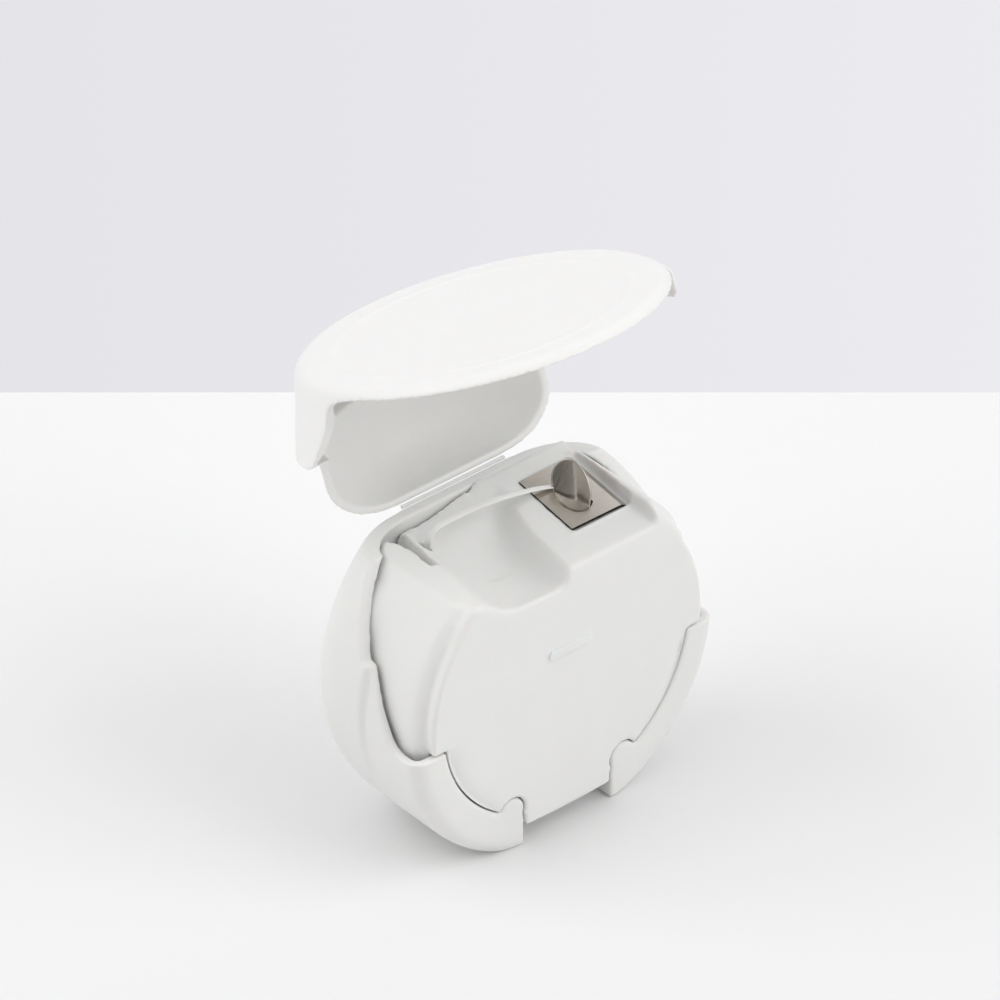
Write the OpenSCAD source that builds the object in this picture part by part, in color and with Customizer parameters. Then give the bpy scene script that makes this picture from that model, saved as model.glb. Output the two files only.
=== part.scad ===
// Dental floss dispenser: a round rear shell with two cradle arms, a hinged hood lid,
// an inner cassette with its cutter, and the bobbin of floss that turns inside.
// The origin is the middle of the flat base, X to the right, Y to the back, +Z up.

/* [Body] */
// Outer radius of the round body
body_r = 26; // [25:0.1:28]
// How far the flat base is cut into the round body
base_cut = 2.3; // [1.8:0.1:2.8]
// Distance from the origin to the flat back
back_y = 11.3; // [11:0.1:14]
// Rounding between the side wall and the back
back_round = 7; // [5:0.1:8]
// Wall thickness of the rear shell
wall = 1.8; // [1.2:0.05:2]
// Distance from the origin to the front face of the cassette
face_y = 11; // [10.5:0.1:13]

/* [Hinge and lid] */
// How far the hinge line lies below the top of the round body
hinge_drop = 8.6; // [7.7:0.1:8.9]
// Width of the hinge web
hinge_w = 17; // [12:0.5:18]
// Thickness of the hinge web
web_t = 0.5; // [0.3:0.05:0.7]
// How much smaller the lid's front plate is than the body, on the radius
lid_inset = 1.5; // [0.8:0.05:1.7]
// How much wider the lid's side walls are at their open edge
lid_flare = 2.4; // [1.5:0.1:2.8]
// How far the lid's centre lies above the body's centre
lid_rise = 1.8; // [1:0.05:2.2]
// Wall thickness of the lid
lid_wall = 1; // [0.8:0.05:1.1]
// Gap between the closed lid and the cassette's face
lid_gap = 0.35; // [0.3:0.05:1.2]
// Rounding of the lid's front edge
lid_round = 2; // [1.6:0.1:3]
// How far the lid is open as it stands, from closed, in degrees
open_angle = 112; // [90:1:140]
// Distance from the lid's outer edge in to the raised ring
ring_inset = 4.9; // [4:0.1:12]
// Height of the raised ring on the lid
ring_h = 0.12; // [0.05:0.01:0.3]

/* [Cradle arms] */
// How much smaller the arms are than the body, on the radius
arm_inset = 0.6; // [0:0.1:1]
// How far the arms' centre lies below the body's centre
arm_drop = 1.2; // [0.8:0.1:1.5]
// Rounding of the arms' front shoulder
arm_round = 2.4; // [1.5:0.1:3]
// Thickness of the arms' lips, front to back
lip_t = 1.4; // [1:0.05:1.5]
// Width of the arms' lips on the front
lip_w = 5; // [4.4:0.1:5.9]
// Clear width between the arms' ends
arm_gap = 14.6; // [10:0.2:18]

/* [Cassette] */
// Gap between the cassette and the shell's side wall
cass_gap = 0.5; // [0.4:0.05:0.9]
// Wall thickness of the cassette
cass_wall = 1.2; // [0.9:0.05:1.4]
// Height of the cassette's underside above the table
cass_floor = 2.7; // [2.3:0.1:3]
// Width of the step round the front plateau
step_w = 0.8; // [0.7:0.05:1.7]
// Depth of the step round the plateau
shoulder_drop = 1.7; // [1.7:0.05:2]
// How far the cutter platform's front edge lies below the hinge line
platform_drop = 1.4; // [1.1:0.1:2.1]
// Slope of the platform, in degrees
platform_tilt = 4.4; // [2:0.2:5]
// Thickness of the fin on the right of the platform, at the platform
fin_w = 2.38; // [2:0.02:2.9]
// How far the flat top left of the scoop lies below the hinge line
ridge_drop = 0.5; // [0.2:0.1:1.3]
// How far the rim behind the scoop lies below the hinge line
rim_drop = 1.3; // [0.7:0.1:2.1]
// Depth of the finger scoop below the flat top
scoop_depth = 4.8; // [3.6:0.1:5.1]
// Radius of the scoop from front to back
scoop_r = 14; // [12:0.5:18]
// Width of the raised bar on the face
bar_w = 7; // [4:0.2:10]
// Height of the raised bar's outline
bar_h = 1.5; // [1:0.1:2.5]
// How far the raised bar stands out of the face
bar_proud = 0.2; // [0.1:0.02:0.25]

/* [Floss outlet] */
// Width of the slot in the ridge
slot_w = 1.3; // [0.8:0.1:1.8]
// Distance from the cassette's left side in to the slot, at the flat top
slot_inset = 3.9; // [3.4:0.1:4.3]
// Distance from the slot in to the outlet
outlet_inset = 3.2; // [2.8:0.1:3.6]
// Distance from the cassette's back end forward to the outlet
outlet_back = 3.7; // [3.2:0.1:4.2]
// Radius of the outlet
outlet_r = 0.9; // [0.8:0.05:1.2]

/* [Cutter] */
// Width of the cutter plate
cutter_w = 9; // [8:0.1:9.4]
// Length of the cutter plate, front to back
cutter_l = 10.5; // [9:0.1:11]
// Distance from the platform's front edge to the cutter
cutter_front = 6.4; // [5:0.1:7]
// Thickness of the cutter's sheet
cutter_t = 0.35; // [0.25:0.05:0.4]
// Depth of the cutter's folded sides
flange_h = 1.2; // [0.8:0.1:1.6]
// Width of the tooth at its foot
tooth_w = 4.9; // [4:0.1:5.3]
// Height of the tooth above the plate
tooth_h = 4.2; // [3:0.1:4.4]

/* [Bobbin] */
// Space left below the wound floss
winding_gap = 2.3; // [2.1:0.1:5.5]
// Outer radius of the core tube
core_r = 5.4; // [5:0.1:7]
// Radius of the hub post in the shell
post_r = 3.7; // [3:0.1:4]
// Running clearance between the post and the core, on the radius
run_gap = 0.08; // [0.04:0.01:0.1]
// Height of the ring inside the cassette's face
boss_h = 1.6; // [1.4:0.1:2.8]
// Height of the seat at the foot of the hub post
seat_h = 1; // [0.6:0.1:2.2]
// How far the bobbin's axis lies below the body's centre
bobbin_drop = 4.3; // [3.7:0.1:5.2]
// Width of the floss
floss_w = 0.8; // [0.6:0.05:0.9]
// Thickness of the floss
floss_t = 0.3; // [0.2:0.05:0.4]

/* [Hidden] */
fine = 96;
over = 1;
far = 2 * body_r;
axis_z = body_r - base_cut;
hinge_z = axis_z + body_r - hinge_drop;
lid_z = axis_z + lid_rise;
lid_r = body_r - lid_inset;
ring_r = lid_r - ring_inset;
arm_r = body_r - arm_inset;
lip_r = arm_r - lip_w;

// Clearances and other small sizes
seat_gap = 0.1;
bed_gap = 0.03;
fit_gap = 0.2;
end_gap = 0.3;
lip_gap = 0.2;
seam_round = 0.7;
winding_inset = 0.8;
boss_inset = 0.4;
plug_l = 1.2;
cass_edge = 1.4;
cass_inner_edge = 0.6;

// Places in depth, along Y
face_at = -face_y;
lid_front = -(face_y + lid_gap + lid_wall);
arm_front = -(face_y - seat_gap);
skirt_y = -(face_y + seat_gap);
hinge_y = back_y + web_t / 2;
floor_share = 0.68;
floor_front = -floor_share * face_y;
seam_share = 0.09;
seam_y = -seam_share * face_y;
hood_share = 0.06;
hood_back = -hood_share * face_y;
fin_share = 0.51;
fin_back = fin_share * face_y;

// Radii inside the body, and the half width of the cassette at height z
room_r = body_r - wall;
cass_r = room_r - cass_gap;
plateau_r = cass_r - step_w;
cass_back = back_y - wall - end_gap;
function half_width(z) = sqrt(cass_r * cass_r - (z - axis_z) * (z - axis_z));

// Heights and places on the cassette's top
platform_z = hinge_z - platform_drop;
ridge_z = hinge_z - ridge_drop;
rim_z = hinge_z - rim_drop;
scoop_z = ridge_z - scoop_depth;
fin_x = half_width(platform_z) - fin_w;
slot_x = half_width(ridge_z) - slot_inset;
outlet_x = slot_x - outlet_inset;
outlet_y = cass_back - outlet_back;

// Places on the side view of the shell's open edge, as shares of face_y and of axis_z
ledge_shares = [[0.5, 1.78], [0.46, 1.74], [0.35, 1.63], [0.245, 1.53], [0.17, 1.46], [0.11, 1.41], [0.06, 1.36],
    [0.02, 1.32], [-0.02, 1.3]];
lip_shares = [[-0.09, 1.3], [-0.14, 1.275], [-0.19, 1.23], [-0.25, 1.17], [-0.36, 1.06], [-0.47, 0.955],
    [-0.53, 0.91], [-0.6, 0.88], [-0.7, 0.868], [-0.85, 0.87], [-1.1, 0.88], [-1.3, 0.88]];
lip_top_share = 0.88;
// Places on the side view of the lid's open edge, in the same shares
lid_edge_shares = [[-1, 0.92], [-0.985, 1], [-0.95, 1.08], [-0.88, 1.135], [-0.78, 1.155], [-0.67, 1.165],
    [-0.55, 1.195], [-0.42, 1.24], [-0.32, 1.28], [-0.22, 1.32], [-0.14, 1.37], [-0.1, 1.45], [-0.08, 1.56], [-0.06, 1.68]];
// Cross section of the scoop, as shares of lip_r and of the scoop's depth below the ridge
scoop_shares = [[-0.7, 1.4], [-0.66, 1.04], [-0.6, 0.8], [-0.51, 0.52], [-0.41, 0.26], [-0.3, 0.07],
    [-0.19, 0], [-0.1, 0.08], [-0.04, 0.36], [0.01, 0.78], [0.05, 1.4]];
scoop_mid_share = 0.36;
// The round ends of the arms on the front, as shares of lip_r
nose_share = 0.1;
nose_drop_share = 0.868;
// Where the platform's left edge and the raised bar lie, as shares of lip_r
platform_share = 0.04;
bar_share = 0.2;

// Bobbin places
bobbin_z = axis_z - bobbin_drop;
core_front = face_at + shoulder_drop + cass_wall + boss_h + end_gap;
core_back = back_y - wall - seat_h - end_gap;
core_w = core_back - core_front;
bobbin_mid = (core_front + core_back) / 2;
winding_w = core_w - 2 * winding_inset;
winding_r = bobbin_z - cass_floor - cass_wall - winding_gap;
boss_r = core_r - boss_inset;

// Cutter places
cutter_x = fin_x - seat_gap - cutter_w / 2;
sunk = cutter_t / 2;
tooth_turn = -55;
tooth_x_share = 0.03;
tooth_y_share = 0.5;
// The tooth's bend and the window punched beside it, as shares of tooth_h and of tooth_w
bend_share = 1.6;
lean_share = 0.05;
rise_share = 0.35;
window_share = 0.46;

// A smooth curve through the points of a list, n steps between each pair
function at(p, i) = p[max(0, min(len(p) - 1, i))];
function knot(p, i, t) =
    let (a = at(p, i - 1), b = at(p, i), c = at(p, i + 1), d = at(p, i + 2))
    0.5 * (2 * b + (c - a) * t + (2 * a - 5 * b + 4 * c - d) * t * t + (3 * b - a - 3 * c + d) * t * t * t);
function smooth(p, n) = [for (i = [0 : len(p) - 2]) for (k = [0 : n - 1]) knot(p, i, k / n), p[len(p) - 1]];
function scaled(p, a, b) = [for (q = p) [q[0] * a, q[1] * b]];

// Turns an outline of radius against depth about the body's axis, at height z
module about(z) {
    translate([0, 0, z]) rotate([-90, 0, 0]) rotate_extrude($fn = fine) children();
}

// Half section of a drum from y0 to y1, with its two rims rounded by c0 and c1
module drum(r, y0, y1, c0, c1) {
    translate([0, y0 + c0]) square([r, y1 - y0 - c0 - c1]);
    translate([0, y0]) square([r - c0, c0 + over]);
    translate([0, y1 - c1 - over]) square([r - c1, c1 + over]);
    intersection() {
        union() {
            translate([r - c0, y0 + c0]) circle(c0, $fn = fine);
            translate([r - c1, y1 - c1]) circle(c1, $fn = fine);
        }
        translate([0, y0]) square([r, y1 - y0]);
    }
}

// Half section of a drum whose wall widens from r0 at y0 to r1 at y1, its front rim rounded by c
module flared(r0, r1, y0, y1, c) {
    polygon([[0, y0 + c], [r0, y0 + c], [r1, y1], [0, y1]]);
    translate([0, y0]) square([r0 - c, c + over]);
    intersection() {
        translate([r0 - c, y0 + c]) circle(c, $fn = fine);
        translate([0, y0]) square([r0, c]);
    }
}

// Draws an outline of depth against height right across the body
module across(w) {
    rotate([90, 0, 90]) linear_extrude(w, center = true) children();
}

// Draws an outline of width against height from depth y0 back to y1
module along(y0, y1) {
    translate([0, y1, 0]) rotate([90, 0, 0]) linear_extrude(y1 - y0) children();
}

// The side view of what stays of the shell behind its open edge
module shell_side() {
    edge = concat(smooth(scaled(ledge_shares, face_y, axis_z), 3), smooth(scaled(lip_shares, face_y, axis_z), 3));
    intersection() {
        polygon(concat([[far, -over], [far, far], [far / 2, far]], edge, [[-far, lip_top_share * axis_z], [-far, -over]]));
        translate([-far, 0]) square([2 * far, hinge_z]);
    }
}

// The drum that holds the bobbin and the cassette
module shell_room() {
    intersection() {
        about(axis_z) drum(room_r, arm_front + lip_t, back_y - wall, arm_round - lip_t, back_round - wall);
        translate([-body_r, -body_r, wall]) cube([2 * body_r, 2 * body_r, 2 * body_r]);
    }
}

// The front opening between the lips, with the bay between the arms' ends, drawn in by g
module front_opening(g) {
    nose_r = nose_share * lip_r;
    difference() {
        union() {
            translate([0, arm_front - over, axis_z]) rotate([-90, 0, 0])
                cylinder(r = lip_r - g, h = lip_t + 2 * over, $fn = fine);
            translate([g - arm_gap / 2, arm_front - over, -over])
                cube([arm_gap - 2 * g, floor_front - arm_front + over, axis_z]);
        }
        for (s = [-1, 1])
            translate([s * (arm_gap / 2 + nose_r), arm_front - over, axis_z - nose_drop_share * lip_r])
                rotate([-90, 0, 0]) cylinder(r = nose_r + g, h = lip_t + 2 * over, $fn = fine);
    }
}

module rear_shell() {
    color("white") {
        difference() {
            intersection() {
                union() {
                    about(axis_z) drum(body_r, seam_y, back_y, seam_round, back_round);
                    about(axis_z - arm_drop) drum(arm_r, arm_front, seam_y + seam_round + over, arm_round, seam_round);
                }
                across(2 * body_r + over) shell_side();
            }
            shell_room();
            front_opening(0);
        }
        hub_post();
    }
}

// The post that carries the bobbin, with the seat ring at its foot
module hub_post() {
    foot = back_y - wall;
    seat = core_back + end_gap;
    tip = core_front - end_gap - plug_l;
    translate([0, seat, bobbin_z]) rotate([-90, 0, 0]) cylinder(r = boss_r, h = foot - seat + wall / 2, $fn = fine);
    translate([0, tip, bobbin_z]) rotate([-90, 0, 0]) cylinder(r = post_r, h = foot - tip + wall / 2, $fn = fine);
}

// The side view of what stays of the lid, closed
module lid_side() {
    edge = smooth(scaled(lid_edge_shares, face_y, axis_z), 3);
    polygon(concat([[-far, -over], [skirt_y, -over], [skirt_y, lid_edge_shares[0][1] * axis_z]], edge,
        [[hood_back, hinge_z + web_t / 2], [far, hinge_z + web_t / 2], [far, far], [-far, far]]));
}

// The lid as it lies closed: the flared hood in front and the neck that reaches the hinge
module lid_closed() {
    neck_back = back_round * lid_r / body_r;
    in_round = lid_round - lid_wall;
    intersection() {
        difference() {
            union() {
                about(lid_z) flared(lid_r, lid_r + lid_flare, lid_front, hood_back, lid_round);
                about(lid_z) drum(lid_r, lid_front, back_y, lid_round, neck_back);
            }
            about(lid_z) flared(lid_r - lid_wall, lid_r + lid_flare - lid_wall, lid_front + lid_wall,
                hood_back - lid_wall, in_round);
            about(lid_z) drum(lid_r - lid_wall, lid_front + lid_wall, back_y - lid_wall, in_round,
                neck_back - lid_wall);
        }
        across(2 * body_r + over) lid_side();
    }
    lid_ring();
}

// The thin raised ring on the front of the lid
module lid_ring() {
    translate([0, lid_front - ring_h, lid_z]) rotate([-90, 0, 0]) difference() {
        cylinder(r = ring_r, h = ring_h + lid_wall / 2, $fn = fine);
        translate([0, 0, -over]) cylinder(r = ring_r - lid_wall / 2, h = ring_h + lid_wall + over, $fn = fine);
    }
}

module lid() {
    color("white") translate([0, hinge_y, hinge_z]) rotate([-open_angle, 0, 0])
        translate([0, -hinge_y, -hinge_z]) lid_closed();
}

// The thin strip that the lid bends on
module hinge_web() {
    color("white") translate([-hinge_w / 2, hinge_y, hinge_z]) rotate([0, 90, 0])
        cylinder(r = web_t / 2, h = hinge_w, $fn = fine);
}

// Half section of the cassette: the plateau, the step round it and the side wall
module cassette_section() {
    bead = shoulder_drop / 2;
    drum(cass_r, face_at + shoulder_drop, cass_back, cass_edge, back_round - wall - cass_gap);
    translate([0, face_at]) square([plateau_r - bead, shoulder_drop + over]);
    translate([0, face_at + bead]) square([plateau_r, bead + over]);
    translate([0, face_at]) intersection() {
        translate([plateau_r - bead, bead]) circle(bead, $fn = fine);
        square([plateau_r, bead]);
    }
}

// All that is cut away above the cassette: ridge, scoop, rim, platform and the fin's back
module cassette_top() {
    scoop_y = -scoop_mid_share * face_y;
    left_x = scoop_shares[0][0] * lip_r;
    right_x = platform_share * lip_r;
    translate([-far, -far, ridge_z]) cube([far + left_x, 2 * far, far]);
    translate([left_x - over, -far, ridge_z + scoop_depth / 4]) cube([right_x - left_x + over, 2 * far, far]);
    intersection() {
        along(-far, far) translate([0, scoop_z]) polygon(smooth(scaled(scoop_shares, lip_r, scoop_depth), 3));
        union() {
            translate([0, scoop_y, scoop_z + scoop_r]) rotate([0, 90, 0])
                cylinder(r = scoop_r, h = far, center = true, $fn = fine);
            translate([-far, -far, rim_z]) cube([2 * far, 2 * far, far]);
            translate([-far, scoop_y - scoop_r - far + over, scoop_z + scoop_r]) cube([2 * far, far, far]);
        }
    }
    on_platform() translate([right_x, -over, 0]) cube([fin_x - right_x, far, far]);
    translate([fin_x - over, fin_back, hinge_z]) cube([far, far, far]);
}

// The room inside the cassette, open at the back
module cassette_room() {
    ceiling = scoop_z - cass_wall;
    intersection() {
        about(axis_z) drum(cass_r - cass_wall, face_at + shoulder_drop + cass_wall, cass_back + over, cass_inner_edge, 0);
        translate([-body_r, -body_r, cass_floor + cass_wall])
            cube([2 * body_r, 2 * body_r, ceiling - cass_floor - cass_wall]);
    }
}

// The space that the arms' lips take in front of the cassette
module lip_space() {
    difference() {
        translate([-far, -far, -far]) cube([2 * far, far + face_at + shoulder_drop, far + lip_top_share * axis_z + lip_gap]);
        front_opening(lip_gap);
    }
}

module cassette() {
    color("white") difference() {
        union() {
            difference() {
                intersection() {
                    about(axis_z) cassette_section();
                    translate([-body_r, -body_r, cass_floor]) cube([2 * body_r, 2 * body_r, 2 * body_r]);
                }
                cassette_top();
                cassette_room();
                lip_space();
            }
            raised_bar();
            front_boss();
        }
        floss_slot();
        cutter_seat();
    }
}

// The small raised bar on the face
module raised_bar() {
    bar_z = axis_z + bar_share * lip_r;
    half = (bar_w - bar_h) / 2;
    translate([0, face_at - bar_proud, bar_z]) rotate([-90, 0, 0]) {
        for (s = [-1, 1])
            translate([s * half, 0, 0]) cylinder(r = bar_h / 2, h = bar_proud + cass_wall / 2, $fn = fine);
        translate([-half, -bar_h / 2, 0]) cube([2 * half, bar_h, bar_proud + cass_wall / 2]);
    }
}

// The ring inside the cassette's face that keeps the bobbin on its post
module front_boss() {
    seat = core_front - end_gap;
    root = face_at + cass_wall / 2;
    hole = plug_l + end_gap;
    difference() {
        translate([0, root, bobbin_z]) rotate([-90, 0, 0]) cylinder(r = boss_r, h = seat - root, $fn = fine);
        translate([0, seat - hole, bobbin_z]) rotate([-90, 0, 0])
            cylinder(r = post_r + fit_gap, h = hole + over, $fn = fine);
    }
}

// The slot in the left ridge and the hole that the floss comes out of
module floss_slot() {
    slot_deep = 2.4 * slot_w;
    translate([-slot_x - slot_w / 2, 0, ridge_z - slot_deep]) cube([slot_w, far, far]);
    translate([-outlet_x, outlet_y, scoop_z - 2 * cass_wall]) cylinder(r = outlet_r, h = far, $fn = fine);
}

// Puts what follows on the platform, from its front edge
module on_platform() {
    translate([0, face_at, platform_z]) rotate([platform_tilt, 0, 0]) children();
}

// The shallow seat and the two side grooves that hold the cutter
module cutter_seat() {
    groove = cutter_t + 2 * seat_gap;
    long = cutter_l + 2 * seat_gap;
    on_platform() translate([cutter_x - cutter_w / 2 - seat_gap, cutter_front - seat_gap, -sunk - bed_gap]) {
        cube([cutter_w + 2 * seat_gap, long, over]);
        for (x = [0, cutter_w - cutter_t])
            translate([x, 0, -flange_h - seat_gap]) cube([groove, long, flange_h + over]);
    }
}

// The steel cutter: a plate with two folded sides, a punched window and the tooth bent up from it
module cutter() {
    window_r = window_share * tooth_w;
    color("silver") on_platform() translate([cutter_x, cutter_front, -sunk]) {
        difference() {
            translate([-cutter_w / 2, 0, 0]) cube([cutter_w, cutter_l, cutter_t]);
            tooth_place() translate([0, -window_share * window_r, -over])
                cylinder(r = window_r, h = 2 * over, $fn = fine);
        }
        for (x = [0, cutter_w - cutter_t])
            translate([x - cutter_w / 2, 0, -flange_h]) cube([cutter_t, cutter_l, flange_h + cutter_t]);
        tooth_place() tooth();
    }
}

// The tooth's foot lies across the plate, turned to face the front left corner
module tooth_place() {
    translate([tooth_x_share * cutter_w, tooth_y_share * cutter_l, 0]) rotate([0, 0, tooth_turn]) children();
}

// The tooth: a round-topped tongue, bent to an arc
module tooth() {
    bend_r = bend_share * tooth_h;
    head_r = tooth_w / 2;
    intersection() {
        translate([0, bend_r - lean_share * tooth_h, rise_share * tooth_h]) rotate([0, 90, 0]) difference() {
            cylinder(r = bend_r + cutter_t / 2, h = 2 * tooth_w, center = true, $fn = fine);
            cylinder(r = bend_r - cutter_t / 2, h = 3 * tooth_w, center = true, $fn = fine);
        }
        along(-over, tooth_h) intersection() {
            union() {
                translate([0, tooth_h - head_r]) circle(head_r, $fn = fine);
                translate([-head_r, 0]) square([2 * head_r, tooth_h - head_r]);
            }
            translate([-head_r, 0]) square([2 * head_r, tooth_h]);
        }
    }
}

module bobbin_core() {
    color("gainsboro") translate([0, core_front, bobbin_z]) rotate([-90, 0, 0]) difference() {
        cylinder(r = core_r, h = core_w, $fn = fine);
        translate([0, 0, -over]) cylinder(r = post_r + run_gap, h = core_w + 2 * over, $fn = fine);
    }
}

module floss_winding() {
    color("whitesmoke") translate([0, bobbin_mid - winding_w / 2, bobbin_z]) rotate([-90, 0, 0]) difference() {
        cylinder(r = winding_r, h = winding_w, $fn = fine);
        translate([0, 0, -over]) cylinder(r = core_r, h = winding_w + 2 * over, $fn = fine);
    }
}

// The floss, from the winding up through the outlet and over to the tooth's foot: shares of the way from the
// winding's side to the outlet, then shares of the way from the outlet to the tooth, with heights over the flat top
rise_shares = [[0, 0, 0], [0.14, 0.25, 0.28], [0.5, 0.65, 0.56], [0.89, 0.95, 0.81]];
span_shares = [[-0.005, 0, -0.75], [0.01, 0.01, -0.21], [0.04, 0.02, 0.02], [0.104, 0.06, 0.167], [0.217, 0.143, 0.25],
    [0.345, 0.225, 0.313], [0.493, 0.328, 0.333], [0.646, 0.43, 0.292], [0.77, 0.512, 0.23], [0.853, 0.574, 0.167],
    [0.905, 0.625, 0.125]];
side_y_share = 0.27;
side_z_share = 0.39;
winding_side = [-(winding_r - seat_gap), side_y_share * winding_r, bobbin_z + side_z_share * winding_r];
outlet_mouth = [-outlet_x, outlet_y, ridge_z + span_shares[0][2] * scoop_depth];
outlet_top = [-outlet_x, outlet_y, ridge_z];
tooth_out = cutter_front + tooth_y_share * cutter_l;
tooth_foot = [cutter_x + tooth_x_share * cutter_w, face_at + tooth_out * cos(platform_tilt), ridge_z + scoop_depth];
function part_way(a, b, s) = [for (k = [0 : 2]) a[k] + (b[k] - a[k]) * s[k]];
strand_points = concat([for (s = rise_shares) part_way(winding_side, outlet_mouth, s)],
    [for (s = span_shares) part_way(outlet_top, tooth_foot, s)]);

// A flat band along a list of points, as one closed solid of eight sides
function unit(v) = v / norm(v);
function heading(p, i) = unit(at(p, i + 1) - at(p, i - 1));
function band_ring(p, i, w, t) =
    let (h = heading(p, i), side = unit(cross(h, [0, 0, 1])), up = cross(side, h))
    [for (k = [0 : 7]) p[i] + side * (w / 2) * cos(45 * k) + up * (t / 2) * sin(45 * k)];
module band(p, w, t) {
    n = len(p);
    points = [for (i = [0 : n - 1]) each band_ring(p, i, w, t)];
    sides = [for (i = [0 : n - 2]) for (k = [0 : 7]) each [
        [i * 8 + k, i * 8 + (k + 1) % 8, (i + 1) * 8 + (k + 1) % 8],
        [i * 8 + k, (i + 1) * 8 + (k + 1) % 8, (i + 1) * 8 + k]]];
    first = [for (k = [1 : 6]) [0, k + 1, k]];
    last = [for (k = [1 : 6]) [(n - 1) * 8, (n - 1) * 8 + k, (n - 1) * 8 + k + 1]];
    polyhedron(points, concat(sides, first, last));
}

module floss_strand() {
    color("white") band(smooth(strand_points, 3), floss_w, floss_t);
}

rear_shell();
lid();
hinge_web();
cassette();
cutter();
bobbin_core();
floss_winding();
floss_strand();
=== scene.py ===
import math
import bmesh
import bpy
from mathutils import Matrix, Vector


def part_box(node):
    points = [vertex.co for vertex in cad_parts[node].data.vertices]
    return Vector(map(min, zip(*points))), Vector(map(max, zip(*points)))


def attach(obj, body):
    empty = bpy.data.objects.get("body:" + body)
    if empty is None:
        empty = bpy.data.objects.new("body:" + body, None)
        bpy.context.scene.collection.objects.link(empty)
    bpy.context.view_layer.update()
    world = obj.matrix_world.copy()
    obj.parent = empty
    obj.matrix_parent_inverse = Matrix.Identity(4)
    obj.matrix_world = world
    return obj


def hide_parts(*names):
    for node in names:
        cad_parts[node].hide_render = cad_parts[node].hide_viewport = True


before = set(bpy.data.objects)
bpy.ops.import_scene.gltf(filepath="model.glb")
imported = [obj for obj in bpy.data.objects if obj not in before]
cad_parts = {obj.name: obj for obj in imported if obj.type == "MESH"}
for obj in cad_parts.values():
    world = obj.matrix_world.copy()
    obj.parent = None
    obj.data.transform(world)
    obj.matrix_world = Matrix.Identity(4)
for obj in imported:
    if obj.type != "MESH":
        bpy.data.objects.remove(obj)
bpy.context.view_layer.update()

MM = 0.001

# ---------------------------------------------------------------------------
# Camera. It looks down from the front left, over a metre away through a long
# lens, so that the small dispenser shows almost no perspective.
# ---------------------------------------------------------------------------
CAMERA_AT = (-0.62115, -0.71851, 0.71893)
LOOK_AT = (0.003278, 0.006217, 0.039646)
camera = bpy.data.objects.new("camera", bpy.data.cameras.new("camera"))
bpy.context.collection.objects.link(camera)
camera.location = CAMERA_AT
aim = Vector(LOOK_AT) - camera.location
camera.rotation_euler = aim.to_track_quat("-Z", "Y").to_euler()
camera.data.sensor_width = 36
camera.data.lens = 333.75
camera.data.clip_end = 20
bpy.context.scene.camera = camera
bpy.context.scene.view_settings.view_transform = "Standard"

# ---------------------------------------------------------------------------
# Table and backdrop. A white table top whose far edge lies just behind the
# dispenser, with a pale grey-lilac wall beyond it. Sizes here are in metres.
# ---------------------------------------------------------------------------
TABLE_EDGE = 0.088
TABLE_REACH = 3
WALL_AWAY = 0.9
WALL_FOOT = -0.6
WALL_HALF = 4
WALL_HIGH = 3


def new_material(name):
    """A material with nodes, its nodes and links, and its main shader."""
    made = bpy.data.materials.new(name)
    made.use_nodes = True
    nodes = made.node_tree.nodes
    return made, nodes, made.node_tree.links, nodes["Principled BSDF"]


def add_node(nodes, kind, **values):
    """A shader node with values on its inputs, where _ stands for a space in an input's name."""
    made = nodes.new("ShaderNode" + kind)
    for label, value in values.items():
        made.inputs[label.replace("_", " ")].default_value = value
    return made


def colour_mix(nodes, a=None, b=None):
    """A mix of two colours, each given here or linked later."""
    made = nodes.new("ShaderNodeMix")
    made.data_type = "RGBA"
    if a:
        made.inputs["A"].default_value = (*a, 1)
    if b:
        made.inputs["B"].default_value = (*b, 1)
    return made


def distance_along(nodes, links, way):
    """The object coordinate along a level direction."""
    coords = nodes.new("ShaderNodeTexCoord")
    turned = add_node(nodes, "Mapping", Rotation=(0, 0, -math.atan2(way.y, way.x)))
    links.new(coords.outputs["Object"], turned.inputs["Vector"])
    split = nodes.new("ShaderNodeSeparateXYZ")
    links.new(turned.outputs["Vector"], split.inputs["Vector"])
    return split.outputs["X"]


def paper(name, tone_a, tone_b):
    """A matt studio surface, faintly clouded between two tones. Also gives its tone's socket."""
    made, nodes, links, shader = new_material(name)
    shader.inputs["Roughness"].default_value = 0.6
    coords = nodes.new("ShaderNodeTexCoord")
    cloud = add_node(nodes, "TexNoise", Scale=3, Detail=2)
    links.new(coords.outputs["Object"], cloud.inputs["Vector"])
    tone = colour_mix(nodes, tone_a, tone_b)
    links.new(cloud.outputs["Fac"], tone.inputs["Factor"])
    links.new(tone.outputs["Result"], shader.inputs["Base Color"])
    return made, tone.outputs["Result"]


def table_with_painted_shade(name):
    """The table's paper, with painted shade that makes it a little darker towards the camera, where
    the lamps are nearest.
    """
    made, tone = paper(name, (0.82, 0.82, 0.82), (0.84, 0.84, 0.84))
    nodes = made.node_tree.nodes
    links = made.node_tree.links
    # painted shade: the paper's tone falls to 0.93 of itself towards the camera
    painted_shade_ramp = add_node(nodes, "MapRange", From_Min=-0.14, From_Max=0.04, To_Min=0.93, To_Max=1)
    painted_shade_ramp.interpolation_type = "SMOOTHSTEP"
    links.new(distance_along(nodes, links, heading), painted_shade_ramp.inputs["Value"])
    painted_shade_multiply = colour_mix(nodes)
    painted_shade_multiply.blend_type = "MULTIPLY"
    painted_shade_multiply.inputs["Factor"].default_value = 1
    links.new(tone, painted_shade_multiply.inputs["A"])
    links.new(painted_shade_ramp.outputs["Result"], painted_shade_multiply.inputs["B"])
    links.new(painted_shade_multiply.outputs["Result"], nodes["Principled BSDF"].inputs["Base Color"])
    return made


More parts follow.
